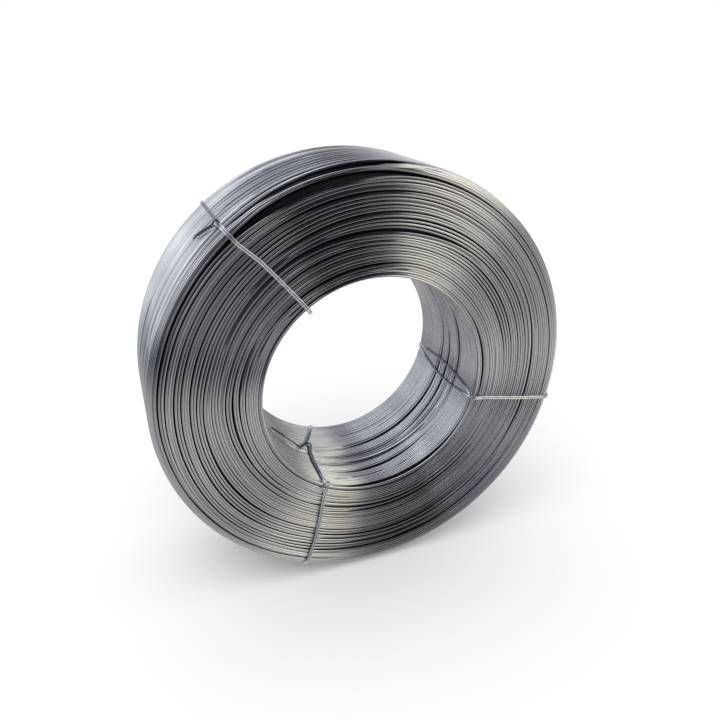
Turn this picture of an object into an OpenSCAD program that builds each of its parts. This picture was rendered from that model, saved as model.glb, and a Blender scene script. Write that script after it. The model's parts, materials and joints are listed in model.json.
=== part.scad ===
// Coil of galvanized steel wire, held together by three double wire ties that are twisted shut.
// The coil stands on its rim: X is to the right, Z is up, the winding's axis is along Y and the
// front end faces -Y. The origin is on the floor under the middle of the coil.

/* [Coil] */
// Diameter over the outermost layer
coil_d = 285; // [240:1:400]
// Diameter of the bore that the mandrel leaves
bore_d = 150; // [80:1:200]
// Width of the winding, from end to end
coil_w = 88.5; // [60:0.5:160]
// Rounding of the two outer corners, where the last layers are wound shorter
corner_r = 10; // [4:0.5:20]

/* [Wire] */
// Diameter of the wound wire
wire_d = 1.5; // [1:0.1:4]
// Slack between neighbouring turns
turn_gap = 0.03; // [0.02:0.01:0.2]
// Depth of the grooves between the turns, as a share of the wire
groove_share = 0.3; // [0.15:0.05:0.4]
// One turn in this many lies low, where the winding is loose
low_turn_every = 12; // [4:1:30]
// How far a low turn lies under the others
low_turn_depth = 0.8; // [0:0.1:1.2]

/* [Ties] */
// Diameter of the tie wire
tie_d = 1.1; // [0.8:0.1:1.6]
// Clearance between a tie and the winding
tie_gap = 0.15; // [0.1:0.05:0.5]
// Clearance between the two strands of a tie
strand_gap = 0.25; // [0.06:0.01:0.4]
// How far a tie stands off where it turns over the bore's front edge
edge_slack = 2; // [0:0.1:2.5]
// Place of the upper left tie on the rim, in degrees around the axis from +X
left_angle = 128.7; // [100:0.1:150]
// Place of the right tie on the rim
right_angle = -13; // [-40:0.5:40]
// Place of the lower tie on the rim
lower_angle = -112; // [-140:0.5:-100]
// Distance of the rim knots from the front end of the winding
rim_knot_y = 18; // [16:0.5:30]
// Distance of the bore knot from the front end of the winding
bore_knot_y = 53; // [48:0.5:60]

/* [Twists] */
// Number of turns in a twist on the rim
rim_twist_turns = 3; // [2:1:4]
// Number of turns in the twist in the bore
bore_twist_turns = 3; // [2:1:5]
// Length of one turn of a twist, as a multiple of the tie wire
twist_pitch_ratio = 4; // [3.4:0.1:4.2]
// Slant of a twist on the rim, towards the back end
rim_slant = 42; // [0:1:45]
// Slant of the twist in the bore, towards the front end
bore_slant = 52; // [0:1:60]
// Length of the short cut ends
short_tail = 3; // [1:0.5:6]
// Length of the long cut end past the bore twist, which is bent square to the tie
long_tail = 30; // [5:1:32]

/* [Hidden] */

coil_r = coil_d / 2;
bore_r = bore_d / 2;
half_w = coil_w / 2;
wire_r = wire_d / 2;
groove = groove_share * wire_d;
turn_pitch = wire_d + turn_gap;

// ---- the winding's section, with the outermost turns standing out of it as ridges

corner_path_r = corner_r - wire_r;
end_length = coil_r - corner_r - bore_r;
rim_length = coil_w - 2 * corner_r;
end_turns = floor(end_length / turn_pitch);
rim_turns = floor(rim_length / turn_pitch);
corner_turns = floor(corner_path_r * PI / 2 / turn_pitch);

// Middles of n equal steps that fill a length
function middles(n, length) = [for (k = [0:n - 1]) (k + 0.5) * length / n];

// Centre of the corner at the end on side +1 or -1, as radius and place along the axis
function corner_centre(side) = [coil_r - corner_r, side * (half_w - corner_r)];

// A point at a distance from the corner's centre, turned from the rim (0) to the end (90)
function on_corner(side, radius, turn) = corner_centre(side) + radius * [cos(turn), side * sin(turn)];

function reversed(list) = [for (k = [len(list) - 1:-1:0]) list[k]];

// The outermost turns, each as its centre and the direction that it faces, from the front end's
// bore edge round the rim to the back end's
turns = concat(
    [for (step = middles(end_turns, end_length)) [[bore_r + step, wire_r - half_w], -90]],
    [for (turn = reversed(middles(corner_turns, 90))) [on_corner(-1, corner_path_r, turn), -turn]],
    [for (step = middles(rim_turns, rim_length)) [[coil_r - wire_r, step - rim_length / 2], 0]],
    [for (turn = middles(corner_turns, 90)) [on_corner(1, corner_path_r, turn), turn]],
    [for (step = reversed(middles(end_turns, end_length))) [[bore_r + step, half_w - wire_r], 90]]);

// How far round a turn stands free of its neighbours, and the points that draw it. The last
// point is left to the next turn, so that a groove has one bottom.
foot = acos(1 - groove / wire_r);
ridge_points = [-foot, -foot / 2, 0, foot / 2];

// How far turn number k lies under the outline, and the spacing of the low ones
function sunk(k) = k % low_turn_every == floor(low_turn_every / 2) ? low_turn_depth : 0;
low_turn_step = low_turn_every * turn_pitch;

// The bore stays round and plain between the grooves over its own low turns
bore_groove_count = floor((coil_w - 2 * wire_d) / low_turn_step);
bore_grooves = [for (k = [1:1:bore_groove_count])
    (bore_groove_count + 1 - 2 * k) * low_turn_step / 2];
bore_groove_shape = [[0, 1], [low_turn_depth, 0.5], [low_turn_depth, -0.5], [0, -1]];

module winding_section() {
    polygon(concat(
        [[bore_r, groove - half_w]],
        [for (k = [0:len(turns) - 1])
            let (t = turns[k], middle = t[0] - sunk(k) * [cos(t[1]), sin(t[1])])
            for (a = ridge_points) middle + wire_r * [cos(t[1] + a), sin(t[1] + a)]],
        [[bore_r, half_w - groove]],
        [for (y = bore_grooves) for (p = bore_groove_shape) [bore_r + p[0], y + p[1] * wire_r]]));
}

module wire_coil() {
    color([0.62, 0.64, 0.66])
        translate([0, 0, coil_r]) rotate([-90, 0, 0])
            rotate_extrude($fn = 180) winding_section();
}

// ---- the ties: one wire each, which goes round the section twice and is twisted shut
//
// A point of a tie is given as [u, v, h]: the distance u along the section's outline from the
// middle of the rim, first towards the back end; the sideways distance v; and the height h of
// the wire's middle over the winding.

tie_r = tie_d / 2;
strand_half = (tie_d + strand_gap) / 2;
low = tie_gap + tie_r;

// Lengths of the outline's stretches: the rim to the outer corner, the corner, the end, the
// bore's edge, the bore
outer_arc = corner_r * PI / 2;
edge_arc = wire_r * PI / 2;
face_length = end_length - wire_r;
bore_length = coil_w - wire_d;
stretches = [rim_length / 2, outer_arc, face_length, edge_arc, bore_length,
             edge_arc, face_length, outer_arc, rim_length / 2];

// Where stretch number k begins
function start_of(k) = k == 0 ? 0 : start_of(k - 1) + stretches[k - 1];
outline_length = start_of(len(stretches));

// The number of the stretch that holds u
function stretch_at(u, k = 0) =
    k == len(stretches) - 1 || u <= start_of(k + 1) ? k : stretch_at(u, k + 1);

function wrapped(u) = u - outline_length * floor(u / outline_length);

// [radius, place along the axis, direction that faces out of the winding] at u
function outline(u) =
    let (k = stretch_at(u), s = u - start_of(k), f = s / stretches[k])
    k == 0 ? [coil_r, s, 0]
    : k == 1 ? concat(on_corner(1, corner_r, 90 * f), [90 * f])
    : k == 2 ? [coil_r - corner_r - s, half_w, 90]
    : k == 3 ? [bore_r + wire_r + wire_r * cos(90 + 90 * f), half_w - wire_r + wire_r * sin(90 + 90 * f),
                90 + 90 * f]
    : k == 4 ? [bore_r, half_w - wire_r - s, 180]
    : k == 5 ? [bore_r + wire_r + wire_r * cos(180 + 90 * f), wire_r - half_w + wire_r * sin(180 + 90 * f),
                180 + 90 * f]
    : k == 6 ? [bore_r + wire_r + s, -half_w, 270]
    : k == 7 ? concat(on_corner(-1, corner_r, 90 - 90 * f), [270 + 90 * f])
    : [coil_r, s - rim_length / 2, 360];

// Angle around the axis at u, for a tie that crosses the rim at angles[0] and the bore's back
// and front edges at angles[1] and angles[2], and bows sideways in the bore by bow degrees. The
// tie turns aside on the ends evenly with angles[3] = 1, and nearer the bore with more.
function tie_angle(u, angles, bow) =
    let (k = stretch_at(u), f = (u - start_of(k)) / stretches[k])
    k < 2 || k > 6 ? angles[0]
    : k == 2 ? angles[0] + (angles[1] - angles[0]) * pow(f, angles[3])
    : k == 3 ? angles[1]
    : k == 4 ? angles[1] + (angles[2] - angles[1]) * f + bow * sin(180 * f)
    : k == 5 ? angles[2]
    : angles[0] + (angles[2] - angles[0]) * pow(1 - f, angles[3]);

// A [u, v, h] point in the coil's frame, for a tie that crosses there at an angle around the axis
function in_space(point, tie_angle) =
    let (at = outline(wrapped(point[0])),
         r = at[0] + point[2] * cos(at[2]), y = at[1] + point[2] * sin(at[2]),
         angle = tie_angle + point[1] / at[0] * 180 / PI)
    [r * cos(angle), y, coil_r + r * sin(angle)];

// Where a strand needs a point on stretch k: round the corners, close by the bore's edges, and
// at even steps on the ends and in the bore
edge_steps = corner_r * [0.3, 0.6, 0.9];
function far_steps(k) = [for (step = reversed(edge_steps)) stretches[k] - step];
function steps_of(k) =
    k == 1 || k == 7 ? stretches[k] * [for (f = [0:8]) f / 8]
    : k == 3 || k == 5 ? stretches[k] * [for (f = [0:4]) f / 4]
    : k == 2 ? concat(stretches[k] * [1 / 4, 1 / 2], far_steps(k))
    : k == 6 ? concat(edge_steps, stretches[k] * [1 / 2, 3 / 4])
    : concat(edge_steps, stretches[k] * [for (f = [1:5]) f / 6], far_steps(k));
bends = [for (k = [1:7]) for (step = steps_of(k)) start_of(k) + step];

// Height of a strand at u: it stands off where it turns over the bore's front edge
slack_reach = corner_r;
function strand_height(u) =
    let (from_edge = abs(u - start_of(5) - edge_arc / 2))
    low + (from_edge < slack_reach ? edge_slack * (1 + cos(180 * from_edge / slack_reach)) / 2 : 0);

// One round of a strand, between the two places where it leaves and reaches the knot. It runs
// at v = from, and moves over to v = to on the way from the last bend before the knot, which lies
// a little further off in the bore, where the bends are far apart.
function round_of_strand(knot_u, margin, from, to) =
    let (run_in = stretch_at(knot_u) == 4 ? 2 * margin : margin,
         later = [for (u = bends) if (u > knot_u + margin) u],
         sooner = [for (u = bends) if (u < knot_u - run_in) u + outline_length],
         all = concat(later, sooner))
    concat([for (u = all) [u, from, strand_height(wrapped(u))]],
           [[knot_u + outline_length - margin, to, low]]);

function bezier(p, t) =
    let (s = 1 - t) s * s * s * p[0] + 3 * s * s * t * p[1] + 3 * s * t * t * p[2] + t * t * t * p[3];

// ---- the knot: both ends turn sideways, cross over the strand between them and twist together
//
// A twist is given as [turns, slant, way]: the number of turns, the slant in degrees towards
// larger u, and the side to which it lies, +1 or -1.

twist_gap = 0.8 * tie_gap;
twist_half = (tie_d + twist_gap) / 2;
twist_pitch = twist_pitch_ratio * tie_d;
twist_axis = low + twist_half + tie_r;
twist_start = 3 * strand_half + 1.5 * tie_d;
knot_margin = 3 * tie_d;
rings_a_turn = 12;

// A point of the twist, a along its axis from its start and b to its side
function by_twist(knot_u, twist, a, b, height) =
    [knot_u + a * sin(twist[1]) + b * cos(twist[1]),
     twist[2] * (twist_start + a * cos(twist[1]) - b * sin(twist[1])), height];

// One strand of the twist, from its start outwards; side is +1 or -1 along the outline
function twist_strand(knot_u, twist, side) =
    [for (k = [0:twist[0] * rings_a_turn])
        let (turn = 360 * k / rings_a_turn)
        by_twist(knot_u, twist, k * twist_pitch / rings_a_turn, side * twist_half * cos(turn),
                 twist_axis + side * twist_half * sin(turn))];

// The end that leaves the first round and crosses over the strand between it and the twist
function first_end(knot_u, twist) =
    let (over = low + tie_d + 2 * tie_r,
         p = [[knot_u + knot_margin, -twist[2] * strand_half, low],
              [knot_u + twist_half, -twist[2] * strand_half, over],
              [knot_u + twist_half, twist[2] * strand_half, over + tie_r],
              by_twist(knot_u, twist, -tie_r, twist_half, twist_axis)])
    [for (t = [0:1 / 8:7 / 8]) bezier(p, t)];

// The end that the second round brings, which turns straight into the twist
function second_end(knot_u, twist) =
    let (p = [[knot_u - knot_margin, twist[2] * 3 * strand_half, low],
              [knot_u - twist_half - tie_r, twist[2] * 3 * strand_half, low],
              by_twist(knot_u, twist, -tie_d, -twist_half, twist_axis),
              by_twist(knot_u, twist, -tie_r, -twist_half, twist_axis)])
    [for (t = [1 / 6:1 / 6:5 / 6]) bezier(p, t)];

// The whole route of one tie. tails are the two cut ends' tips, along and beside the twist. All
// that lies in the knot keeps the tie's angle at the knot, so that its strands stay clear there.
function tie_route(angles, bows, knot_u, twist, tails) =
    let (way = twist[2],
         past = twist[0] * twist_pitch,
         knot_angle = tie_angle(knot_u, angles, bows[0]),
         first = concat(reversed(twist_strand(knot_u, twist, 1)), reversed(first_end(knot_u, twist))),
         second = concat(second_end(knot_u, twist), twist_strand(knot_u, twist, -1)),
         rounds = [round_of_strand(knot_u, knot_margin, -way * strand_half, way * strand_half),
                   concat([[knot_u + knot_margin, way * strand_half, low]],
                          round_of_strand(knot_u, knot_margin, way * strand_half,
                                          way * 3 * strand_half))],
         tips = [for (tail = tails) by_twist(knot_u, twist, past + tail[0], tail[1], twist_axis)])
    concat(
        [for (p = concat([tips[0]], first)) in_space(p, knot_angle)],
        [for (k = [0, 1]) for (p = rounds[k])
            let (u = wrapped(p[0]), in_knot = abs(u - knot_u) < knot_margin + wire_r)
            in_space(p, in_knot ? knot_angle : tie_angle(u, angles, bows[k]))],
        [for (p = concat(second, [tips[1]])) in_space(p, knot_angle)]);

// ---- a round wire swept along a route

wire_sides = 10;

function unit(v) = v / norm(v);
function across(v, along) = unit(v - (v * along) * along);
function direction(route, k) =
    unit(route[min(k + 1, len(route) - 1)] - route[max(k - 1, 0)]);

// A side direction for each point, carried along the route without twisting
function side_directions(route) =
    [for (k = 0, n = across([0.31, 0.22, 0.93], direction(route, 0));
          k < len(route);
          k = k + 1, n = k < len(route) ? across(n, direction(route, k)) : n) n];

module wire(route, diameter) {
    side = side_directions(route);
    count = len(route);
    rings = [for (k = [0:count - 1])
        let (along = direction(route, k), up = cross(along, side[k]))
        for (j = [0:wire_sides - 1])
            let (turn = 360 * j / wire_sides)
            route[k] + diameter / 2 * (cos(turn) * side[k] + sin(turn) * up)];
    walls = [for (k = [0:count - 2]) for (j = [0:wire_sides - 1])
        let (next = (j + 1) % wire_sides)
        [k * wire_sides + j, (k + 1) * wire_sides + j,
         (k + 1) * wire_sides + next, k * wire_sides + next]];
    first_cap = [for (j = [0:wire_sides - 1]) j];
    last_cap = [for (j = [wire_sides - 1:-1:0]) (count - 1) * wire_sides + j];
    polyhedron(rings, concat(walls, [first_cap, last_cap]));
}

// Distance along the outline of a knot on the rim, and of one in the bore
rim_knot = outline_length - half_w + rim_knot_y;
bore_knot = start_of(4) + bore_length - bore_knot_y;

short_tails = [[short_tail, tie_d], [short_tail, -tie_d]];

module tie_left() {
    color([0.72, 0.74, 0.77])
        wire(tie_route([left_angle, left_angle - 2.5, left_angle - 2.5, 0.6], [0, 0], rim_knot,
                       [rim_twist_turns, rim_slant, 1], short_tails), tie_d);
}

module tie_right() {
    color([0.72, 0.74, 0.77])
        wire(tie_route([right_angle, right_angle + 1, right_angle - 1.8, 1], [2.8, -4.5], rim_knot,
                       [rim_twist_turns, rim_slant, -1], short_tails), tie_d);
}

module tie_lower() {
    color([0.72, 0.74, 0.77])
        wire(tie_route([lower_angle, lower_angle + 6.5, lower_angle - 6.5, 2], [-5, -5], bore_knot,
                       [bore_twist_turns, bore_slant, -1],
                       [short_tails[0], long_tail * [cos(bore_slant), -sin(bore_slant)]]), tie_d);
}

wire_coil();
tie_left();
tie_right();
tie_lower();
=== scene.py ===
"""Dresses a coil of galvanized steel wire: every turn that shows is wound as its own round wire, and
three twisted ties hold the coil. All sizes are in metres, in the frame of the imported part: X to the
right, Z up, the coil's axis along Y and its front end towards -Y.
"""
import json
import math

import bmesh
import bpy
import numpy as np
from bpy.props import FloatProperty, FloatVectorProperty, IntProperty, PointerProperty
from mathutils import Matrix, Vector


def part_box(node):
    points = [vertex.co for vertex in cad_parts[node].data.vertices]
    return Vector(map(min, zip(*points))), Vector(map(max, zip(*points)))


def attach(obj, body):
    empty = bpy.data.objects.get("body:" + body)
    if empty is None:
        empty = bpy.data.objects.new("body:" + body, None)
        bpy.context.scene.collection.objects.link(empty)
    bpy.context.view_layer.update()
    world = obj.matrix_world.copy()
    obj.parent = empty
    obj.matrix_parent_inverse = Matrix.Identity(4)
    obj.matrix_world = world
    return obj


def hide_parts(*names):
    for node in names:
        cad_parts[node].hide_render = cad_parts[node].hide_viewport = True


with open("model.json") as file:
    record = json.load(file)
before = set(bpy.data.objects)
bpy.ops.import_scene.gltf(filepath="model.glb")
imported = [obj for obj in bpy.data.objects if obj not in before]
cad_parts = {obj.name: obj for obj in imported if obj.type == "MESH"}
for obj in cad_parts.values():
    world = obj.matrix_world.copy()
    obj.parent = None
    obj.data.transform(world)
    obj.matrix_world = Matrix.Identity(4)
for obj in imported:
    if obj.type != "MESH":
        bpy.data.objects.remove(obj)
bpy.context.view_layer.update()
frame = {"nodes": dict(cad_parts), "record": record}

bl_info = {
    "name": "Wire Coil",
    "version": (1, 0, 0),
    "blender": (4, 5, 0),
    "location": "View3D > Sidebar > Wire Coil",
    "description": "Winds a coil of galvanized wire turn by turn and ties it",
    "category": "Add Mesh",
}

MM = 0.001

COIL_LOW, COIL_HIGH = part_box("wire_coil")
CENTRE = (COIL_LOW + COIL_HIGH) / 2
COIL_RADIUS = (COIL_HIGH.z - COIL_LOW.z) / 2
HALF_WIDTH = (COIL_HIGH.y - COIL_LOW.y) / 2
BORE_RADIUS = frame["record"]["mounts"][0]["dims"]["r_mm"] * MM


# ---- sizes and colours that a user would change


class WindingSettings(bpy.types.PropertyGroup):
    """The wound wire and how tightly its turns lie."""

    wire_diameter: FloatProperty(
        name="Wire diameter", description="Diameter of the wound wire",
        default=1.5 * MM, min=0.5 * MM, max=4 * MM, unit="LENGTH")
    corner_radius: FloatProperty(
        name="Corner radius", description="Rounding of the two outer corners of the coil",
        default=10 * MM, min=2 * MM, max=20 * MM, unit="LENGTH")
    unevenness: FloatProperty(
        name="Unevenness", description="How far a turn of a group may lie below its neighbours",
        default=0.6 * MM, min=0, max=1.2 * MM, unit="LENGTH")
    sink: FloatProperty(
        name="Sink", description="How far the deepest turns lie below the coil's outline",
        default=1.6 * MM, min=0, max=2 * MM, unit="LENGTH")
    waviness: FloatProperty(
        name="Waviness", description="How far a turn wanders up and down on its way round",
        default=0.08 * MM, min=0, max=0.5 * MM, unit="LENGTH")
    pressed: FloatProperty(
        name="Pressed", description="Share of a wire's thickness that touching turns press together",
        default=0.03, min=0, max=0.2)
    seed: IntProperty(
        name="Seed", description="Seed of the random lay of the turns", default=11, min=0)
    steps_round: IntProperty(
        name="Steps round", description="Segments of each turn round the coil's axis",
        default=136, min=48, max=256)
    wire_sides: IntProperty(
        name="Wire sides", description="Sides of the wire's round section", default=12, min=6, max=12)
    zinc_light: FloatVectorProperty(
        name="Light zinc", description="Colour of the brightest zinc", subtype="COLOR",
        default=(0.82, 0.82, 0.82), min=0, max=1)
    zinc_dull: FloatVectorProperty(
        name="Dull zinc", description="Colour of the dullest zinc", subtype="COLOR",
        default=(0.68, 0.685, 0.70), min=0, max=1)


class TieSettings(bpy.types.PropertyGroup):
    """The ties' finish."""

    zinc: FloatVectorProperty(
        name="Tie zinc", description="Colour of the ties' zinc", subtype="COLOR",
        default=(0.88, 0.91, 0.96), min=0, max=1)


class StageSettings(bpy.types.PropertyGroup):
    """Floor, light and camera."""

    floor_colour: FloatVectorProperty(
        name="Floor", description="Colour of the floor", subtype="COLOR",
        default=(0.93, 0.93, 0.93), min=0, max=1)
    lamp_power: FloatProperty(
        name="Lamp power", description="Power of the soft lamp that draws the shadow",
        default=7.0, min=0, unit="POWER")
    lens: FloatProperty(
        name="Lens", description="Focal length of the camera", default=33.2, min=10, unit="CAMERA")


# ---- where the grooves run
#
# The turns that show lie side by side along the outline of the coil's section. The shell runs from
# the bore's front edge over the front end, the rim and the back end to the bore's back edge; the
# bore's own turns lie between the same two edges. Grooves part the turns into groups. Each groove
# wanders on its way round, and is given as (degrees from +X, place, opening), with the
# place and the opening in millimetres.


# place from the coil's axis
END_GROOVES = (
    ((-180, 77.5, 0.2), (-90, 77.5, 0.4), (-20, 78.5, 0.4), (0, 79, 1.4),
     (15, 78.4, 1.2), (35, 78.7, 0.2), (70, 79, 0.2), (100, 78, 0.4), (150, 77.5, 0.2)),
    ((-180, 85.5, 0.4), (-120, 85, 0.2), (-90, 86, 0.4), (-40, 85.5, 0.6), (-15, 85, 0.1),
     (50, 83.6, 0.3), (75, 84, 0.3), (95, 82.7, 1.5), (125, 83, 1.3), (145, 84.5, 0.3), (160, 86, 0.7)),
    ((-180, 89.2, 0.6), (-160, 88.8, 0.3), (-145, 89.5, 0.7), (-128, 88.2, 0.2),
     (-30, 88.6, 0.1), (100, 87.6, 0.2), (140, 88, 0.2), (170, 89.4, 1.1)),
    ((-180, 93.4, 1.1), (-140, 92, 0.4), (-110, 91.2, 0.7), (-90, 91.5, 1.2), (-55, 91.2, 0.7),
     (-38, 91.1, 0.2), (60, 91.3, 0.1), (110, 91.4, 0.3), (150, 91.5, 0.4), (170, 93.2, 0.6)),
    ((-180, 98.4, 0.5), (-150, 96, 0.6), (-138, 95.5, 0.7), (-122, 96, 0.2), (-95, 94.6, 0.7),
     (-60, 94.3, 1.1), (-38, 94.5, 0.3), (-10, 95, 0.1), (22, 94.3, 0.6),
     (45, 93.7, 0.2), (75, 94.6, 0.3), (110, 95.5, 1.2), (140, 95.3, 0.5), (160, 96.5, 0.6)),
    ((-180, 103, 0.3), (-150, 101, 0.1), (-130, 99, 0.3), (-90, 100, 0.5),
     (-60, 98.9, 0.7), (-8, 100, 0.2), (20, 101.6, 0.4), (55, 101.2, 0.6),
     (72, 100.3, 0.2), (90, 99.7, 0.6), (110, 101.3, 1.1), (165, 101.8, 0.6)),
    ((-180, 105.5, 0.3), (-150, 104.5, 0.3), (-90, 105, 0.2), (0, 106, 0.3),
     (20, 106.5, 0.4), (40, 106, 0.3), (55, 104.8, 0.6),
     (70, 103.5, 1.4), (92, 103.3, 1.8), (120, 105, 1.4), (150, 104.8, 0.6)),
    ((-180, 111, 0.4), (-152, 111.2, 1.1), (-130, 110, 0.6), (-112, 109, 0.5),
     (-90, 110, 0.5), (-60, 109, 0.7), (-10, 111.7, 0.4), (20, 113, 0.6), (60, 111.8, 0.6),
     (90, 111, 0.6), (120, 108.6, 0.7), (140, 107.8, 0.4), (165, 108.7, 0.5)),
    ((-180, 115.5, 0.3), (-120, 113.8, 0.2), (-100, 115, 1.2),
     (-75, 115, 1.4), (-52, 115, 0.6), (-40, 114.8, 0.1), (55, 115.3, 0.1),
     (72, 115, 0.7), (90, 114, 0.7), (120, 112, 0.7), (150, 112.8, 0.4)),
    ((-180, 118.6, 0.6), (-150, 119.9, 0.7), (-112, 117.6, 0.6), (-85, 118.5, 0.7),
     (-50, 118, 0.7), (-25, 117.2, 1.1), (3, 117.4, 0.7), (20, 118.8, 0.5), (50, 118.6, 0.1),
     (90, 118.8, 0.6), (120, 116.9, 0.7), (150, 117, 0.6), (165, 118.1, 0.7)),
    ((-180, 123.5, 0.5), (-150, 124, 0.2), (-107, 120.9, 0.6), (-85, 121.8, 1.2),
     (-52, 121.8, 0.5), (-35, 122, 0.1), (25, 123, 0.4),
     (60, 122.5, 0.5), (90, 122.9, 0.6), (125, 121.4, 0.7), (150, 122.3, 0.6)),
    ((-180, 128, 0.7), (-150, 128.5, 0.6), (-125, 128.4, 0.2), (-97, 126.6, 1.3),
     (-80, 126, 1.8), (-55, 126.4, 1.6), (-30, 125.8, 0.5), (-10, 126, 0.1),
     (60, 127, 0.2), (100, 126, 1.2), (125, 125.6, 0.7), (150, 126.4, 0.4)),
    ((-180, 132.5, 0.4), (-150, 132, 0.1), (-90, 131, 0.1), (-8, 131.6, 0.5), (8, 132, 0.6),
     (32, 131, 0.6), (60, 130.5, 0.2), (100, 131, 0.5), (130, 130.6, 0.4), (155, 132, 0.7)),
    ((-180, 137.5, 0.8), (-150, 136, 0.9), (-118, 134.6, 0.6), (-100, 134.7, 0.1), (0, 135, 0.1),
     (45, 135, 0.5), (62, 135.4, 0.7), (82, 136.4, 1.3), (92, 136.8, 4.6), (100, 136.6, 6.0),
     (112, 136.6, 6.0), (119, 136.6, 5.0), (127, 136.6, 2.4), (134, 136.8, 0.9), (150, 136.6, 1.1)),
)
# place from the front end, on the rim and in the bore
RIM_GROOVES = (
    ((-150, 7, 0.2), (76, 8.2, 0.8), (88, 8.4, 6.4), (98, 8.4, 8.0), (105, 8.2, 6.8),
     (112, 7.8, 4.0), (119, 7.4, 2.4), (126, 7.2, 0.9), (140, 7, 0.2)),
    ((-90, 14, 0.3), (90, 17.4, 0.5), (98, 17.3, 2.6), (112, 17, 3.6), (119, 15.6, 3.2),
     (125, 14.2, 2.0), (135, 13, 1.2), (148, 11.6, 0.7), (160, 11, 0.2)),
    ((-90, 23, 0.2), (95, 24, 0.8), (112, 23.6, 1.2), (122, 23.4, 0.6),
     (146, 23, 0.2), (155, 22, 1.0), (163, 20, 1.4), (172, 18, 0.4)),
    ((-90, 29, 0.2), (92, 30.3, 1.2), (108, 30, 2.4), (122, 29, 1.6), (135, 28.5, 0.2)),
    ((-90, 36, 0.2), (92, 37, 1.5), (108, 36.5, 2.5), (122, 35.3, 1.8),
     (135, 34.4, 0.7), (155, 32.4, 1.0), (166, 31, 1.3), (175, 31, 0.3)),
    ((-90, 42, 0.2), (98, 43, 0.8), (112, 42.6, 1.4), (124, 42, 0.7), (135, 42, 0.2)),
    ((-90, 49, 0.2), (92, 50, 1.4), (106, 49, 2.3), (120, 48, 1.6), (128, 47.6, 0.2),
     (150, 50, 0.1), (160, 52, 1.0), (167, 54, 1.6), (175, 54, 0.3)),
    ((-90, 58, 0.2), (92, 58.5, 1.8), (106, 56.6, 2.4),
     (120, 54.8, 1.8), (130, 53, 0.7), (140, 52, 0.2)),
    ((-90, 73, 0.2), (92, 73.5, 1.8), (106, 72.5, 1.8), (116, 71.5, 1.0), (125, 71, 0.2)),
)
BORE_GROOVES = (
    ((-132, 2.4, 0.2), (-115, 2.6, 1.4), (-98, 3.3, 3.6), (-62, 3.3, 3.8),
     (-45, 2.8, 2.2), (-25, 2.4, 1.2), (-8, 2.3, 0.8), (10, 2.2, 0.2)),
    ((-108, 21.2, 0.1), (-100, 21.4, 1.4), (-90, 21.8, 2.4), (-78, 22.3, 2.4),
     (-66, 23.6, 1.4), (-52, 24.8, 0.5), (-40, 25, 0.1), (90, 17, 0.1)),
    ((-118, 29.5, 0.1), (-108, 31, 1.0), (-98, 31.6, 2.0), (-84, 32, 2.0),
     (-68, 32.6, 1.2), (-50, 33, 0.4), (-30, 29.4, 0.6), (-14, 29.2, 1.6),
     (6, 28.8, 2.4), (22, 27.5, 2.4), (36, 24.5, 2.6), (50, 21, 1.4), (120, 28, 0.1)),
    ((-110, 36.6, 0.1), (-85, 36.5, 0.9), (-60, 36.8, 1.0),
     (-30, 36.6, 1.0), (-12, 37, 0.6), (5, 37, 0.1), (90, 34, 0.1)),
    ((-148, 40.5, 3.0), (-136, 42, 3.2), (-128, 41.6, 1.4), (-122, 42, 0.4),
     (-100, 41, 1.0), (-78, 41.2, 1.2), (-60, 42, 0.6), (-42, 44.4, 1.2), (-28, 44.2, 2.2),
     (-10, 43.8, 2.2), (4, 43.4, 1.6), (14, 43, 0.2), (60, 38, 0.1), (140, 40, 0.3)),
    ((-124, 47.4, 0.1), (-100, 52.8, 0.5), (-88, 53.6, 1.2), (-72, 54.4, 2.2), (-45, 54.9, 2.6),
     (-10, 54.4, 2.0), (10, 52.4, 1.4), (28, 50.2, 1.2), (42, 47, 0.8), (55, 44, 0.2), (120, 50, 0.1)),
    ((-120, 66, 0.1), (-60, 65, 0.1), (0, 68, 0.1), (120, 68, 0.3)),
)
# how loosely the turns lie round the coil, as (degrees from +X, share): where they are loose they
# lie less evenly, and the low ones get more painted shade
LOOSENESS = ((-180, 0.1), (-125, 0.1), (-95, 0.5), (-60, 0.5), (-30, 0.1), (35, 0.2), (55, 0.5), (90, 0.8),
             (125, 0.8), (155, 0.6), (172, 0.2))

# a groove that opens this wide keeps its place when the groups share the room
FIRM_OPENING = 0.4 * MM
# the turn beside a groove leans into it, but less and less between these two openings
NARROW_OPENING, WIDE_OPENING = 2 * MM, 4.5 * MM
# how far it leans: a share of the opening, up to a limit
LEAN_SHARE, MOST_LEAN = 0.3, 0.35 * MM
# the least room that a turn takes along the outline, as a share of its diameter
LEAST_SHARE = 0.4
# the mean of the waves in which a turn goes low and high on its way round, from 0 to 1
MEAN_LOW = 0.4
# each turn has its own share of the unevenness between these two
OWN_UNEVENNESS = (0.2, 1)
# how uneven every second turn is, as a share of the others' unevenness
UPPER_TURN_SHARE = 0.3
# from the first depth below the outline to the second, painted shade darkens a turn more and more
UNSHADED_DEPTH, FULL_SHADE_DEPTH = 0.1 * MM, 0.6 * MM
# how much painted shade a low turn gets where the turns lie tight, as a share of what the loose ones get
TIGHT_SHADE_SHARE = 0.25


# ---- the lay of the turns


def shell_stretches(settings):
    """Lengths of the shell's five stretches for the wires' middles: end, corner, rim, corner, end."""
    wire_r = settings.wire_diameter / 2
    end = COIL_RADIUS - settings.corner_radius - BORE_RADIUS - wire_r
    corner = (settings.corner_radius - wire_r) * math.pi / 2
    rim = 2 * (HALF_WIDTH - settings.corner_radius)
    return [end, corner, rim, corner, end]


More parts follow.
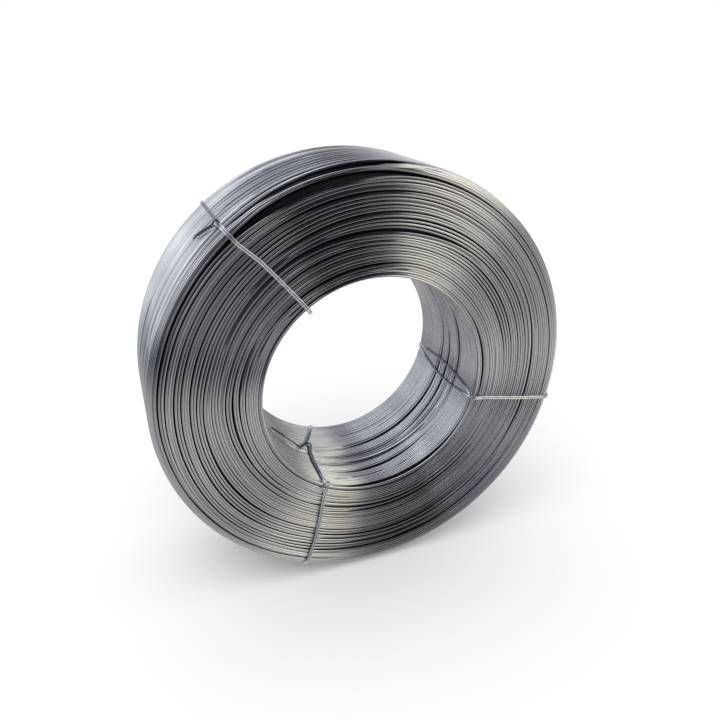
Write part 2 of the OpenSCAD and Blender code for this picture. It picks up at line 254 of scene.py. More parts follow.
def on_shell(settings, along):
    """Radius, place along the axis and outward direction of the wires' middles, for an array of
    distances along the shell."""
    end, corner, rim, _, _ = shell_stretches(settings)
    bend = settings.corner_radius - settings.wire_diameter / 2
    corner_r, corner_y = COIL_RADIUS - settings.corner_radius, HALF_WIDTH - settings.corner_radius
    total = 2 * end + 2 * corner + rim
    side = np.where(along < total / 2, -1.0, 1.0)
    inward = np.minimum(along, total - along)
    turn = np.clip((inward - end) / corner, 0, 1) * math.pi / 2
    radius = np.minimum(inward, end) - end + corner_r + bend * np.sin(turn)
    across = corner_y - np.clip(inward - end - corner, 0, None) + bend * np.cos(turn)
    return radius, side * across, np.sin(turn), side * np.cos(turn)


def on_bore(settings, along):
    """The same for an array of distances along the bore, from its front edge."""
    wire_r = settings.wire_diameter / 2
    return (BORE_RADIUS + wire_r + 0 * along, wire_r - HALF_WIDTH + along, -1.0 + 0 * along, 0 * along)


def radius_on_shell(settings, radius):
    """Distance along the shell of a place on the front end or its corner, from its radius."""
    end, corner = shell_stretches(settings)[:2]
    past = radius - (COIL_RADIUS - settings.corner_radius)
    turn = np.arcsin(np.clip(past / settings.corner_radius, 0, 1)) / (math.pi / 2)
    return end + np.where(past < 0, past, turn * corner)


def depth_on_shell(settings, depth):
    """Distance along the shell of a place on the rim or its front corner, from the front end."""
    end, corner = shell_stretches(settings)[:2]
    past = depth - settings.corner_radius
    turn = np.arccos(np.clip(-past / settings.corner_radius, 0, 1)) / (math.pi / 2)
    return end + np.where(past > 0, corner + past, turn * corner)


def slow_waves(rng, angle, count, most=4):
    """Sum of sine waves of one to most periods round the coil, one row for each of count turns,
    within -1 to 1."""
    total = np.zeros((count, len(angle)))
    for waves in range(1, most + 1):
        size, phase = rng.uniform(0.3, 1, (count, 1)), rng.uniform(0, 2 * math.pi, (count, 1))
        total += size * np.sin(waves * angle + phase)
    return total / most


def groove_round(angle, points):
    """Place and opening, in metres, of one groove at each angle, eased between its points."""
    at, place, opening = np.array(points).T
    reach = 5
    ease = np.hanning(2 * reach + 1)
    ease /= ease.sum()
    eased = []
    for value in (place, opening):
        value = np.interp(np.degrees(angle), at, value, period=360)
        value = np.concatenate([value[-reach:], value, value[:reach]])
        eased.append(np.convolve(value, ease, "valid") * MM)
    return eased


def wandering_grooves(rng, angle, start, end):
    """Grooves for a stretch that has none listed, a few millimetres apart. Each wanders to
    and fro, and opens over a part of its way round."""
    first_group, group, last_group = (3, 6), (4, 8), 3 * MM
    wander_reach, widest = 0.9 * MM, (0.6, 1.6)
    open_mean, open_swing = 0.5, 1.4
    grooves = []
    place = start + rng.uniform(*first_group) * MM
    while place < end - last_group:
        wander = wander_reach * slow_waves(rng, angle, 1, 3)[0]
        opening = np.clip(open_mean + open_swing * slow_waves(rng, angle, 1)[0], 0, 1)
        grooves.append((place + wander, opening * rng.uniform(*widest) * MM))
        place += rng.uniform(*group) * MM
    return grooves


def settle_grooves(angle, start, end, grooves, pitch):
    """How many turns lie in each group, and where the grooves end up once the groups have shared
    the room: an open groove keeps its place, a closed one drifts."""
    places, openings = (np.array(values) for values in zip(*grooves))
    level = 0 * angle
    edges = np.vstack([start + level, places, end + level])
    open_edges = np.vstack([level, openings, level])
    lost = (open_edges[1:] + open_edges[:-1]) / 2
    rooms = np.median(np.diff(edges, axis=0) - lost, axis=1)
    counts = np.maximum(1, np.rint(rooms / pitch)).astype(int)

    # Each group presses on the grooves at its sides like a spring, the softer the more turns it
    # has, and each groove is held in its place by a spring, the stiffer the wider it opens.
    stiffness = 1 / counts[:, None]
    push = stiffness * (counts[:, None] * pitch + lost)
    hold = (openings / FIRM_OPENING) ** 2
    size = len(places)
    inner = np.arange(size)
    springs = np.zeros((len(angle), size, size))
    springs[:, inner, inner] = (stiffness[:-1] + stiffness[1:] + hold).T
    springs[:, inner[1:], inner[:-1]] = springs[:, inner[:-1], inner[1:]] = -stiffness[1:-1].T
    load = hold * places + push[:-1] - push[1:]
    load[0] += stiffness[0] * start
    load[-1] += stiffness[-1] * end
    places = np.linalg.solve(springs, load.T[:, :, None])[:, :, 0].T
    return counts, [(start + level, level), *zip(places, openings), (end + level, level)]


def lay_turns(rng, settings, angle, start, end, grooves):
    """Distances along a stretch of the wires' middles, and how far each lies below the outline, one
    row for each turn. Between two grooves the turns share the room: where it narrows, some of them
    dive under their neighbours, and where it widens they spread."""
    diameter = settings.wire_diameter
    pitch = diameter * (1 - settings.pressed)
    counts, walls = settle_grooves(angle, start, end, grooves, pitch)
    places, depths = [], []
    for count, (left, left_opening), (right, right_opening) in zip(counts, walls, walls[1:]):
        edge = left + left_opening / 2
        room = np.maximum(right - right_opening / 2 - edge, LEAST_SHARE * diameter)
        depth = lower_turns(rng, settings, angle, count, room, pitch)
        depth[0] += lean_into(left_opening)
        depth[-1] += lean_into(right_opening)
        places.append(edge + side_by_side(depth, diameter, room))
        depths.append(np.minimum(depth, settings.sink))
    return np.vstack(places), np.vstack(depths)


def lower_turns(rng, settings, angle, count, room, pitch):
    """How far each turn of a group lies below the outline. Where the room is short, turns dive one
    after another, every second one first, and where the winding is loose they lie unevenly."""
    loose = loose_share(angle)
    depth = settings.waviness * (1 + slow_waves(rng, angle, count)) / 2
    divers = np.r_[rng.permutation(np.arange(1, count, 2)), rng.permutation(np.arange(0, count, 2))]
    for order, turn in enumerate(divers):
        lack = np.clip((count - order) * pitch - room, 0, pitch)
        depth[turn] += np.sqrt(pitch * lack - lack * lack / 4)
        low = np.clip(MEAN_LOW + slow_waves(rng, angle, 1)[0], 0, 1) * loose
        share = 1.0 if turn % 2 else UPPER_TURN_SHARE
        depth[turn] += settings.unevenness * rng.uniform(*OWN_UNEVENNESS) * share * low
    return depth


def lean_into(opening):
    """How far the turn beside a groove leans down into it: into a narrow one by a share of its
    opening, and into a wide gap not at all."""
    narrow = np.clip((WIDE_OPENING - opening) / (WIDE_OPENING - NARROW_OPENING), 0, 1)
    return np.minimum(LEAN_SHARE * opening, MOST_LEAN) * narrow


def side_by_side(depth, diameter, room):
    """Distances of a group's turns from its edge. Neighbours touch, so turns that lie at different
    depths are closer together, and the group as a whole takes up its room."""
    fall = np.diff(depth, axis=0)
    steps = np.sqrt(np.maximum(diameter ** 2 - fall ** 2, (LEAST_SHARE * diameter) ** 2))
    middles = np.cumsum(np.vstack([0 * room + diameter / 2, steps]), 0)
    return middles * (room / (middles[-1] + diameter / 2))


def loose_share(angle):
    """How loosely the turns lie at each angle."""
    at, share = np.array(LOOSENESS).T
    return np.interp(np.degrees(angle), at, share, period=360)


def painted_shade_share(angle, depth):
    """How much painted shade darkens a turn: the more the further it lies below its neighbours, and
    the most where the winding is loose."""
    below = np.clip((depth - UNSHADED_DEPTH) / (FULL_SHADE_DEPTH - UNSHADED_DEPTH), 0, 1)
    loosest = max(share for _, share in LOOSENESS)
    return below * (TIGHT_SHADE_SHARE + (1 - TIGHT_SHADE_SHARE) * loose_share(angle) / loosest)


# ---- meshes


def round_the_axis(radius, axial, angle):
    """Points of a turned form as one flat list, from arrays that fit together by broadcasting."""
    spread = np.broadcast_arrays(radius * np.cos(angle) + CENTRE.x, axial + CENTRE.y,
                                 radius * np.sin(angle) + CENTRE.z)
    return np.stack(spread, -1).reshape(-1, 3)


def smooth_mesh(name, points, faces):
    """A smooth-shaded mesh of four-sided faces."""
    mesh = bpy.data.meshes.new(name)
    mesh.from_pydata(points.tolist(), [], faces.reshape(-1, 4).tolist())
    mesh.shade_smooth()
    return mesh


def write_values(mesh, name, values):
    """One number for each point of a mesh, for its material to read."""
    layer = mesh.attributes.new(name, "FLOAT", "POINT")
    layer.data.foreach_set("value", values.astype(np.float32))


def wire_rings(name, turns, settings, angle):
    """One mesh of closed round wires. turns holds the radius, the place along the axis, the tone
    and the share of painted shade on turns that lie low, with one row a turn."""
    radius, axial, tone, sunken_shade = turns
    count, steps = radius.shape
    sides = settings.wire_sides
    wire_r = settings.wire_diameter / 2
    around = np.arange(sides) * 2 * math.pi / sides
    points = round_the_axis(radius[:, :, None] + wire_r * np.cos(around),
                            axial[:, :, None] + wire_r * np.sin(around), angle[None, :, None])

    turn, step, side = np.meshgrid(np.arange(count), np.arange(steps), np.arange(sides), indexing="ij")
    corners = ((0, 0), (0, 1), (1, 1), (1, 0))
    faces = np.stack([(turn * steps + (step + a) % steps) * sides + (side + b) % sides
                      for a, b in corners], -1)
    mesh = smooth_mesh(name, points, faces)

    # along the wire in metres, and across it one unit for each turn
    arc = 2 * math.pi * COIL_RADIUS / steps
    uv = np.stack([np.stack([(step + a) * arc, turn + (side + b) / sides], -1) for a, b in corners], 3)
    mesh.uv_layers.new(name="along_wire").data.foreach_set("uv", uv.reshape(-1).astype(np.float32))
    write_values(mesh, "turn_tone", np.repeat(tone, steps * sides))
    # the share of painted shade on each turn, for the material to darken low turns with
    write_values(mesh, "sunken_shade", np.repeat(sunken_shade.ravel(), sides))
    return add_piece(name, mesh)


def add_piece(name, mesh):
    """Links a mesh as a piece of the object that rides on the coil's one body."""
    mesh.validate()
    piece = bpy.data.objects.new(name, mesh)
    bpy.context.scene.collection.objects.link(piece)
    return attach(piece, "root")


def inner_layers_mesh(name, settings):
    """The layers under the outermost turns, as one turned body with their ridges."""
    depth = settings.sink + 0.8 * settings.wire_diameter
    pitch = 1.03 * settings.wire_diameter
    ridge = 0.3 * MM
    steps = 96
    stretches = ((on_shell, sum(shell_stretches(settings)), 1),
                 (on_bore, 2 * HALF_WIDTH - settings.wire_diameter, -1))
    rows = []
    for on_outline, length, direction in stretches:
        samples = 2 * int(length / pitch)
        along = ((np.arange(samples) + 0.5) / samples * length)[::direction]
        along = np.clip(along, 2 * depth, length - 2 * depth)
        sunk = depth + ridge * (np.arange(samples) % 2)
        # one sample for each end of the stretch, so that the outline never runs back on itself
        kept = np.r_[True, np.diff(along) != 0]
        along, sunk = along[kept], sunk[kept]
        radius, axial, out_r, out_y = on_outline(settings, along)
        rows.append(np.stack([radius - sunk * out_r, axial - sunk * out_y], -1))
    section = np.concatenate(rows)
    angle = np.arange(steps) * 2 * math.pi / steps
    points = round_the_axis(section[:, :1], section[:, 1:], angle)
    row, step = np.meshgrid(np.arange(len(section)), np.arange(steps), indexing="ij")
    corners = ((0, 0), (1, 0), (1, 1), (0, 1))
    faces = np.stack([(row + a) % len(section) * steps + (step + b) % steps for a, b in corners], -1)
    return smooth_mesh(name, points, faces)


# ---- finishes


def new_material(name):
    """A material, its node tree and its surface node."""
    material = bpy.data.materials.new(name)
    material.use_nodes = True
    tree = material.node_tree
    return material, tree, tree.nodes["Principled BSDF"]


def add_node(tree, kind, **values):
    """A node of a kind, with attributes by name and inputs by position as in0, in1 and so on."""
    node = tree.nodes.new(kind)
    for name, value in values.items():
        if name.startswith("in") and name[2:].isdigit():
            node.inputs[int(name[2:])].default_value = value
        else:
            setattr(node, name, value)
    return node


def noise(tree, scale, detail, **kind):
    """A noise texture of so many patches to a unit of its space."""
    texture = add_node(tree, "ShaderNodeTexNoise", **kind)
    texture.inputs["Scale"].default_value = scale
    texture.inputs["Detail"].default_value = detail
    return texture


def patches(tree, scale, detail=2.0):
    """Cloudy patches over a piece, so many to a metre."""
    place = add_node(tree, "ShaderNodeTexCoord")
    texture = noise(tree, scale, detail)
    tree.links.new(place.outputs["Object"], texture.inputs["Vector"])
    return texture.outputs["Fac"]


def drawing_marks(tree, along, across, detail):
    """Marks drawn out along a wire, so many to a metre of it and so many round it."""
    unrolled = add_node(tree, "ShaderNodeUVMap", uv_map="along_wire")
    space = add_node(tree, "ShaderNodeMapping")
    space.inputs["Scale"].default_value = (along, across, 1.0)
    texture = noise(tree, 1.0, detail, noise_dimensions="2D")
    tree.links.new(unrolled.outputs["UV"], space.inputs["Vector"])
    tree.links.new(space.outputs["Vector"], texture.inputs["Vector"])
    return texture.outputs["Fac"]


def mix_colours(tree, share, first, second, blend_type="MIX"):
    """A mix of two colours, each of them a constant or what another node gives."""
    mix = add_node(tree, "ShaderNodeMix", data_type="RGBA", blend_type=blend_type)
    factor, colours, mixed = mix.inputs[0], mix.inputs[6:8], mix.outputs[2]
    tree.links.new(share, factor)
    for socket, colour in zip(colours, (first, second)):
        if isinstance(colour, bpy.types.NodeSocket):
            tree.links.new(colour, socket)
        else:
            socket.default_value = (*colour, 1)
    return mixed


def two_tones(tree, share, first, second, start=0.0, end=1.0):
    """A colour that runs from the first to the second between two places of a ramp."""
    ramp = add_node(tree, "ShaderNodeValToRGB")
    for element, place, colour in zip(ramp.color_ramp.elements, (start, end), (first, second)):
        element.position, element.color = place, (*colour, 1)
    tree.links.new(share, ramp.inputs["Fac"])
    return ramp.outputs["Color"]


def set_roughness(tree, surface, share, least, most):
    """Makes a surface rougher from the least to the most as the share goes from 0 to 1."""
    spread = add_node(tree, "ShaderNodeMapRange")
    spread.inputs["To Min"].default_value = least
    spread.inputs["To Max"].default_value = most
    tree.links.new(share, spread.inputs["Value"])
    tree.links.new(spread.outputs["Result"], surface.inputs["Roughness"])


def set_bump(tree, surface, height, strength, distance):
    """Gives a surface marks too fine to be modelled."""
    bump = add_node(tree, "ShaderNodeBump")
    bump.inputs["Strength"].default_value = strength
    bump.inputs["Distance"].default_value = distance
    tree.links.new(height, bump.inputs["Height"])
    tree.links.new(bump.outputs["Normal"], surface.inputs["Normal"])


def zinc_wire(name, light, dull):
    """Thinly galvanized drawn wire: each turn has its own tone, with drawing marks along it and
    faint cloudy patches of zinc, and painted shade darkens it where it lies below its neighbours."""
    tone_share, mark_share, patch_share = 0.5, 0.45, 0.35
    # the colour of the painted shade on turns that lie below their neighbours
    painted_shade = (0.20, 0.21, 0.25)
    material, tree, surface = new_material(name)
    link = tree.links.new
    surface.inputs["Metallic"].default_value = 1.0

    tone = add_node(tree, "ShaderNodeAttribute", attribute_name="turn_tone")
    by_tone = add_node(tree, "ShaderNodeMath", operation="MULTIPLY", in1=tone_share)
    by_mark = add_node(tree, "ShaderNodeMath", operation="MULTIPLY_ADD", in1=mark_share)
    dullness = add_node(tree, "ShaderNodeMath", operation="MULTIPLY_ADD", in1=patch_share, use_clamp=True)
    link(tone.outputs["Fac"], by_tone.inputs[0])
    link(drawing_marks(tree, along=14.0, across=2.5, detail=3.0), by_mark.inputs[0])
    link(by_tone.outputs[0], by_mark.inputs[2])
    link(patches(tree, scale=38.0), dullness.inputs[0])
    link(by_mark.outputs[0], dullness.inputs[2])

    # painted shade: the lower a turn lies, the more its colour is multiplied towards the shade colour
    low = add_node(tree, "ShaderNodeAttribute", attribute_name="sunken_shade")
    zinc = mix_colours(tree, dullness.outputs[0], light, dull)
    with_painted_shade = mix_colours(tree, low.outputs["Fac"], zinc, painted_shade, "MULTIPLY")
    link(with_painted_shade, surface.inputs["Base Color"])
    set_roughness(tree, surface, dullness.outputs[0], least=0.04, most=0.11)
    fine_marks = drawing_marks(tree, along=90.0, across=9.0, detail=2.0)
    set_bump(tree, surface, fine_marks, strength=0.03, distance=0.03 * MM)
    return material


def inner_zinc():
    """The inner layers, painted nearly black as the shade between the outermost turns."""
    material, tree, surface = new_material("painted_shade_inner_wire")
    surface.inputs["Metallic"].default_value = 1.0
    surface.inputs["Roughness"].default_value = 0.55
    # painted shade: near-black zinc, so that the gaps between the outermost turns show dark
    darkest_painted_shade, lightest_painted_shade = (0.02, 0.022, 0.025), (0.07, 0.074, 0.082)
    tree.links.new(two_tones(tree, patches(tree, scale=60.0), darkest_painted_shade, lightest_painted_shade), surface.inputs["Base Color"])
    return material


def tie_zinc(colour):
    """Bright zinc on the ties, scuffed where the pliers turned them, and darkened by painted shade
    inside the coil and over its rim."""
    scuffed = [0.78 * part for part in colour]
    # painted shade that darkens the ties inside the coil and over its rim
    painted_shade = (0.22, 0.23, 0.26)
    unshaded_reach, painted_shade_reach = HALF_WIDTH - 4 * MM, HALF_WIDTH - 14 * MM
    material, tree, surface = new_material("bright_tie_zinc")
    link = tree.links.new
    surface.inputs["Metallic"].default_value = 1.0
    scuffs = patches(tree, scale=420.0, detail=3.0)
    place = add_node(tree, "ShaderNodeTexCoord")
    apart = add_node(tree, "ShaderNodeSeparateXYZ")
    from_middle = add_node(tree, "ShaderNodeMath", operation="SUBTRACT", in1=CENTRE.y)
    either_way = add_node(tree, "ShaderNodeMath", operation="ABSOLUTE")
    inside = add_node(tree, "ShaderNodeMapRange", in1=unshaded_reach, in2=painted_shade_reach)
    link(place.outputs["Object"], apart.inputs[0])
    link(apart.outputs["Y"], from_middle.inputs[0])
    link(from_middle.outputs[0], either_way.inputs[0])
    link(either_way.outputs[0], inside.inputs["Value"])
    zinc = two_tones(tree, scuffs, scuffed, colour, start=0.35, end=0.65)
    with_painted_shade = mix_colours(tree, inside.outputs["Result"], zinc, painted_shade, "MULTIPLY")
    link(with_painted_shade, surface.inputs["Base Color"])
    set_roughness(tree, surface, scuffs, least=0.15, most=0.30)
    set_bump(tree, surface, scuffs, strength=0.3, distance=0.04 * MM)
    return material


# ---- the operators


class COIL_OT_wind_turns(bpy.types.Operator):
    """Wind the turns that show on the front end, the rim, the back end and in the bore"""

    bl_idname = "coil.wind_turns"
    bl_label = "Wind the turns"

    def execute(self, context):
        settings = context.scene.winding
        rng = np.random.default_rng(settings.seed)
        angle = np.arange(settings.steps_round) * 2 * math.pi / settings.steps_round
        zinc = zinc_wire("galvanized_wire", settings.zinc_light, settings.zinc_dull)
        self.wind_shell(rng, settings, angle, zinc)
        self.wind_bore(rng, settings, angle, zinc)
        return {"FINISHED"}

    def wind_shell(self, rng, settings, angle, zinc):
        """The front end, the rim and the back end, parted in the middle of the two corners."""
        end, corner = shell_stretches(settings)[:2]
        length = sum(shell_stretches(settings))
        grooves = []
        for laid, along_shell in ((END_GROOVES, radius_on_shell), (RIM_GROOVES, depth_on_shell)):
            for points in laid:
                place, opening = groove_round(angle, points)
                grooves.append((along_shell(settings, place), opening))
        back = length - end - 0.6 * corner
        grooves += wandering_grooves(rng, angle, back, length)

        wire_r = settings.wire_diameter / 2
        along, depth = lay_turns(rng, settings, angle, -wire_r, length + wire_r, grooves)
        radius, axial, out_r, out_y = on_shell(settings, along)
        turns = (radius - depth * out_r, axial - depth * out_y, rng.uniform(0, 1, len(along)),
                 painted_shade_share(angle, depth))
        middle = along.mean(1)
        front_limit, back_limit = end + corner / 2, length - end - corner / 2
        pieces = {
            "front_end_turns": middle < front_limit,
            "rim_turns": (middle >= front_limit) & (middle <= back_limit),
            "back_end_turns": middle > back_limit,
        }
        for name, chosen in pieces.items():
            self.wind(name, [values[chosen] for values in turns], settings, angle, zinc)

    def wind_bore(self, rng, settings, angle, zinc):
        """The bore, between the innermost turns of both ends."""
        wire_r = settings.wire_diameter / 2
        length = 2 * HALF_WIDTH - settings.wire_diameter
        grooves = []
        for points in BORE_GROOVES:
            place, opening = groove_round(angle, points)
            grooves.append((place - wire_r, opening))
        along, depth = lay_turns(rng, settings, angle, wire_r, length - wire_r, grooves)
        radius, axial, out_r, _ = on_bore(settings, along)
        turns = (radius - out_r * depth, axial, rng.uniform(0, 1, len(along)), painted_shade_share(angle, depth))
        self.wind("bore_turns", turns, settings, angle, zinc)

    def wind(self, name, turns, settings, angle, zinc):
        piece = wire_rings(name, turns, settings, angle)
        piece.data.materials.append(zinc)
        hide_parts("wire_coil")


class COIL_OT_lay_inner_layers(bpy.types.Operator):
    """Lay the inner layers that show as darkness between the outermost turns"""

    bl_idname = "coil.lay_inner_layers"
    bl_label = "Lay the inner layers"

    def execute(self, context):
        name = "inner_layers"
        piece = add_piece(name, inner_layers_mesh(name, context.scene.winding))
        piece.data.materials.append(inner_zinc())
        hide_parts("wire_coil")
        return {"FINISHED"}


class COIL_OT_fit_ties(bpy.types.Operator):
    """Fit the three ties as smooth wires of their own"""

    bl_idname = "coil.fit_ties"
    bl_label = "Fit the ties"

    def execute(self, context):
        zinc = tie_zinc(context.scene.tie.zinc)
        same_point, sharpest_bend = 0.001 * MM, math.radians(65)
        for node, name in (("tie_left", "left_tie_wire"), ("tie_right", "right_tie_wire"),
                           ("tie_lower", "lower_tie_wire")):
            shape = bmesh.new()
            shape.from_mesh(frame["nodes"][node].data)
            bmesh.ops.remove_doubles(shape, verts=shape.verts, dist=same_point)
            mesh = bpy.data.meshes.new(name)
            shape.to_mesh(mesh)
            shape.free()
            mesh.shade_smooth()
            mesh.set_sharp_from_angle(angle=sharpest_bend)
            mesh.materials.clear()
            mesh.materials.append(zinc)
            piece = add_piece(name, mesh)
            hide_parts(node)
        return {"FINISHED"}


# Soft lamps and dark cards round the coil that only its reflections show: where each is centred,
# in degrees round from +X and up from the level of the coil's middle, its half widths and its soft
# edge in degrees, and its colour. A later one covers those before it, and all cover plain grey.
STUDIO = (
    ("ceiling", 0, 90, 360, 22, 14, (0.04, 0.05, 0.06)),
    ("ceiling at the back", 110, 72, 35, 10, 14, (0.50, 0.55, 0.62)),
    ("floor", 0, -90, 360, 38, 20, (0.46, 0.47, 0.48)),
    ("floor at the right", 5, -42, 24, 16, 12, (0.66, 0.66, 0.67)),
    ("floor at the back left", 162, -58, 18, 22, 12, (0.80, 0.80, 0.82)),
    ("shaded floor at the back", 80, -40, 14, 14, 12, (0.24, 0.25, 0.26)),
    ("shaded floor in front", 250, -34, 14, 20, 12, (0.18, 0.19, 0.21)),
    ("back wall", 92, 4, 24, 28, 14, (0.84, 0.90, 1.00)),
    ("back wall at the right", 60, 30, 14, 26, 14, (0.62, 0.66, 0.74)),
    ("window at the back", 110, 50, 38, 15, 12, (1.58, 1.67, 1.80)),
    ("window's low part", 134, 12, 20, 24, 10, (1.00, 1.06, 1.15)),
    ("wall on the left", 174, 33, 20, 11, 12, (1.44, 1.46, 1.48)),
    ("wall on the left, far part", 204, 28, 16, 24, 14, (0.74, 0.76, 0.80)),
    ("high wall on the left", 212, 54, 24, 7, 8, (1.40, 1.44, 1.50)),
    ("floor on the left", 205, -32, 40, 12, 8, (0.46, 0.47, 0.49)),
    ("floor at the back", 135, -26, 25, 12, 10, (0.46, 0.47, 0.50)),
    ("low wall on the left", 165, 8, 16, 7, 8, (0.86, 0.88, 0.92)),
    ("skirting on the left", 206, -5, 46, 8, 8, (0.02, 0.03, 0.06)),
    ("grey card on the left", 228, 24, 12, 26, 10, (0.24, 0.29, 0.36)),
    ("shelf at the right", 8, 44, 26, 16, 12, (1.05, 1.04, 1.02)),
    ("dark card in front", 267, 24, 29, 42, 4, (0.02, 0.02, 0.03)),
    ("lamp at the front right", 334, 30, 22, 18, 8, (1.60, 1.49, 1.26)),
    ("lamp's edge", 307, 16, 9, 18, 3, (1.15, 1.07, 0.92)),
    ("shade at the right", 345, 5, 32, 7, 10, (0.20, 0.21, 0.22)),
    ("lamp low at the right", 330, -25, 34, 10, 8, (0.84, 0.84, 0.85)),
    ("dark floor in front", 294, -36, 10, 6, 7, (0.18, 0.18, 0.20)),
    ("lamp low in front", 277, -60, 12, 14, 8, (0.90, 0.89, 0.85)),
)
STUDIO_GREY = 0.32
STUDIO_RADIUS = 2.5

# the camera's place from the middle of the coil's front end, in coil radii, and the way it looks
CAMERA_PLACE = Vector((-1.0240, -2.4858, 1.3853))
CAMERA_LOOKS = Vector((0.32191, 0.84904, -0.41893))
SENSOR_WIDTH = 36.0
# the soft lamp's place from the coil's middle, and its size
LAMP_PLACE = Vector((-0.5, -0.6, 1.4))
LAMP_SIZE = 1.2


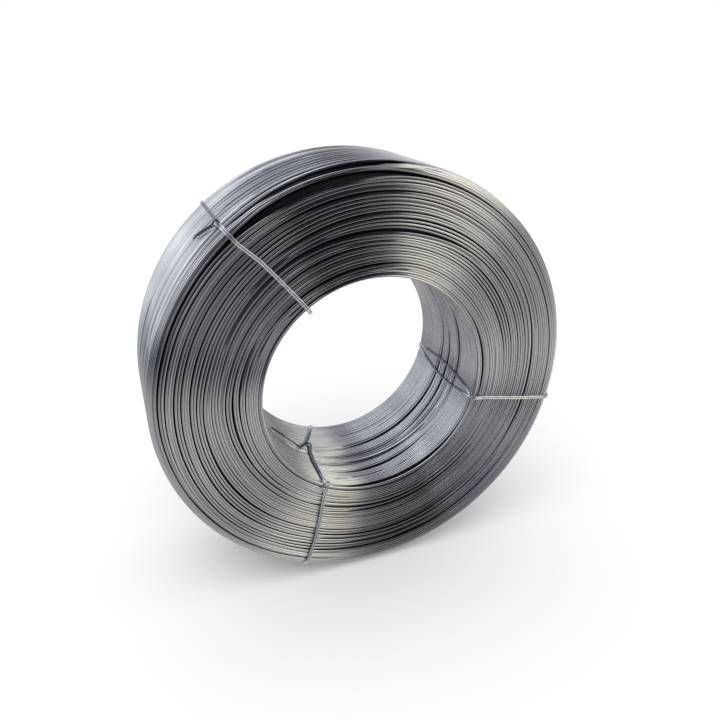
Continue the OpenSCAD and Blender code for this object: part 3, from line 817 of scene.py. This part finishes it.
class COIL_OT_set_stage(bpy.types.Operator):
    """Set the floor, the light and the camera"""

    bl_idname = "coil.set_stage"
    bl_label = "Set the stage"

    def execute(self, context):
        settings = context.scene.stage
        self.world(context.scene)
        self.floor(settings)
        self.reflected_studio()
        self.lamp(settings)
        self.camera(context.scene, settings)
        context.scene.view_settings.view_transform = "Standard"
        return {"FINISHED"}

    def world(self, scene):
        """Plain white all round."""
        world = bpy.data.worlds.new("white_surround")
        world.use_nodes = True
        background = world.node_tree.nodes["Background"]
        background.inputs["Color"].default_value = (1, 1, 1, 1)
        background.inputs["Strength"].default_value = 1.0
        scene.world = world

    def floor(self, settings):
        """A pale floor that takes the coil's shadow, and fades into plain white further out."""
        shaded_reach, white_reach, edge = 0.35, 1.2, 30.0
        material, tree, surface = new_material("pale_floor")
        surface.inputs["Base Color"].default_value = (*settings.floor_colour, 1)
        surface.inputs["Roughness"].default_value = 0.9
        surface.inputs["Specular IOR Level"].default_value = 0.0
        place = add_node(tree, "ShaderNodeTexCoord")
        distance = add_node(tree, "ShaderNodeVectorMath", operation="LENGTH")
        far = add_node(tree, "ShaderNodeMapRange", interpolation_type="SMOOTHSTEP",
                       in1=shaded_reach, in2=white_reach)
        rays = add_node(tree, "ShaderNodeLightPath")
        seen_far = add_node(tree, "ShaderNodeMath", operation="MULTIPLY")
        white = add_node(tree, "ShaderNodeEmission")
        either = add_node(tree, "ShaderNodeMixShader")
        link = tree.links.new
        link(place.outputs["Object"], distance.inputs[0])
        link(distance.outputs["Value"], far.inputs["Value"])
        link(far.outputs["Result"], seen_far.inputs[0])
        link(rays.outputs["Is Camera Ray"], seen_far.inputs[1])
        link(seen_far.outputs[0], either.inputs[0])
        link(surface.outputs["BSDF"], either.inputs[1])
        link(white.outputs["Emission"], either.inputs[2])
        link(either.outputs["Shader"], tree.nodes["Material Output"].inputs["Surface"])
        mesh = bpy.data.meshes.new("floor")
        mesh.from_pydata([(-edge, -edge, 0), (edge, -edge, 0), (edge, edge, 0), (-edge, edge, 0)],
                         [], [(0, 1, 2, 3)])
        mesh.materials.append(material)
        floor = self.add_stage_object("floor", mesh)
        floor.visible_glossy = False

    def reflected_studio(self):
        """A wide shell, seen only by reflections, painted with the soft lamps and dark cards."""
        shape = bmesh.new()
        bmesh.ops.create_uvsphere(shape, u_segments=144, v_segments=72, radius=STUDIO_RADIUS)
        mesh = bpy.data.meshes.new("reflected_studio")
        shape.to_mesh(mesh)
        shape.free()
        spots = np.empty(len(mesh.vertices) * 3, np.float32)
        mesh.vertices.foreach_get("co", spots)
        x, y, z = (spots.reshape(-1, 3) / STUDIO_RADIUS).T
        longitude, latitude = np.degrees(np.arctan2(y, x)), np.degrees(np.arcsin(np.clip(z, -1, 1)))
        light = np.full((len(x), 3), STUDIO_GREY)
        for _, lon, lat, half_lon, half_lat, soft, colour in STUDIO:
            off_lon = np.abs((longitude - lon + 180) % 360 - 180) - half_lon
            off_lat = np.abs(latitude - lat) - half_lat
            share = np.clip(0.5 - off_lon / (2 * soft), 0, 1)
            share = share * np.clip(0.5 - off_lat / (2 * soft), 0, 1)
            share = (share * share * (3 - 2 * share))[:, None]
            light = light * (1 - share) + np.array(colour) * share
        paint = mesh.attributes.new("studio_light", "FLOAT_COLOR", "POINT")
        paint.data.foreach_set("color", np.c_[light, np.ones(len(x))].astype(np.float32).ravel())
        mesh.shade_smooth()

        material = bpy.data.materials.new("studio_light")
        material.use_nodes = True
        tree = material.node_tree
        tree.nodes.clear()
        painted = add_node(tree, "ShaderNodeAttribute", attribute_name="studio_light")
        glow = add_node(tree, "ShaderNodeEmission")
        out = add_node(tree, "ShaderNodeOutputMaterial")
        tree.links.new(painted.outputs["Color"], glow.inputs["Color"])
        tree.links.new(glow.outputs["Emission"], out.inputs["Surface"])
        mesh.materials.append(material)
        shell = self.add_stage_object("reflected_studio", mesh)
        shell.location = CENTRE
        shell.visible_camera = shell.visible_diffuse = shell.visible_shadow = False
        shell.visible_transmission = shell.visible_volume_scatter = False

    def add_stage_object(self, name, mesh):
        """Links a mesh as a part of the stage and not of the coil."""
        obj = bpy.data.objects.new(name, mesh)
        bpy.context.scene.collection.objects.link(obj)
        return obj

    def lamp(self, settings):
        """The soft lamp that draws the shadow, and doesn't show in the wire."""
        data = bpy.data.lights.new("soft_lamp", "AREA")
        data.energy, data.size = settings.lamp_power, LAMP_SIZE
        lamp = bpy.data.objects.new("soft_lamp", data)
        lamp.location = CENTRE + LAMP_PLACE
        lamp.rotation_euler = (CENTRE - lamp.location).to_track_quat("-Z", "Y").to_euler()
        lamp.visible_glossy = False
        bpy.context.scene.collection.objects.link(lamp)

    def camera(self, scene, settings):
        """The camera, to the left of the coil's axis and above it. It looks 21 degrees to the right
        and 25 down, close past the coil's middle."""
        front = Vector((CENTRE.x, COIL_LOW.y, CENTRE.z))
        data = bpy.data.cameras.new("camera")
        data.lens, data.sensor_width = settings.lens, SENSOR_WIDTH
        camera = bpy.data.objects.new("camera", data)
        camera.location = front + COIL_RADIUS * CAMERA_PLACE
        camera.rotation_euler = CAMERA_LOOKS.to_track_quat("-Z", "Y").to_euler()
        scene.collection.objects.link(camera)
        scene.camera = camera


class COIL_PT_sidebar(bpy.types.Panel):
    """Lists the coil's operators and settings"""

    bl_idname = "COIL_PT_sidebar"
    bl_label = "Wire Coil"
    bl_space_type = "VIEW_3D"
    bl_region_type = "UI"
    bl_category = "Wire Coil"

    def draw(self, context):
        for step in STEPS:
            self.layout.operator(step.bl_idname)
        for group in (context.scene.winding, context.scene.tie, context.scene.stage):
            for name in group.bl_rna.properties.keys():
                if name not in ("rna_type", "name"):
                    self.layout.prop(group, name)


STEPS = (COIL_OT_lay_inner_layers, COIL_OT_wind_turns, COIL_OT_fit_ties, COIL_OT_set_stage)
CLASSES = (WindingSettings, TieSettings, StageSettings, *STEPS, COIL_PT_sidebar)


def register():
    for cls in CLASSES:
        bpy.utils.register_class(cls)
    bpy.types.Scene.winding = PointerProperty(type=WindingSettings)
    bpy.types.Scene.tie = PointerProperty(type=TieSettings)
    bpy.types.Scene.stage = PointerProperty(type=StageSettings)


def unregister():
    del bpy.types.Scene.stage
    del bpy.types.Scene.tie
    del bpy.types.Scene.winding
    for cls in reversed(CLASSES):
        bpy.utils.unregister_class(cls)


def main():
    """Builds the coil and its stage."""
    register()
    bpy.ops.coil.lay_inner_layers()
    bpy.ops.coil.wind_turns()
    bpy.ops.coil.fit_ties()
    bpy.ops.coil.set_stage()


if __name__ == "__main__":
    main()
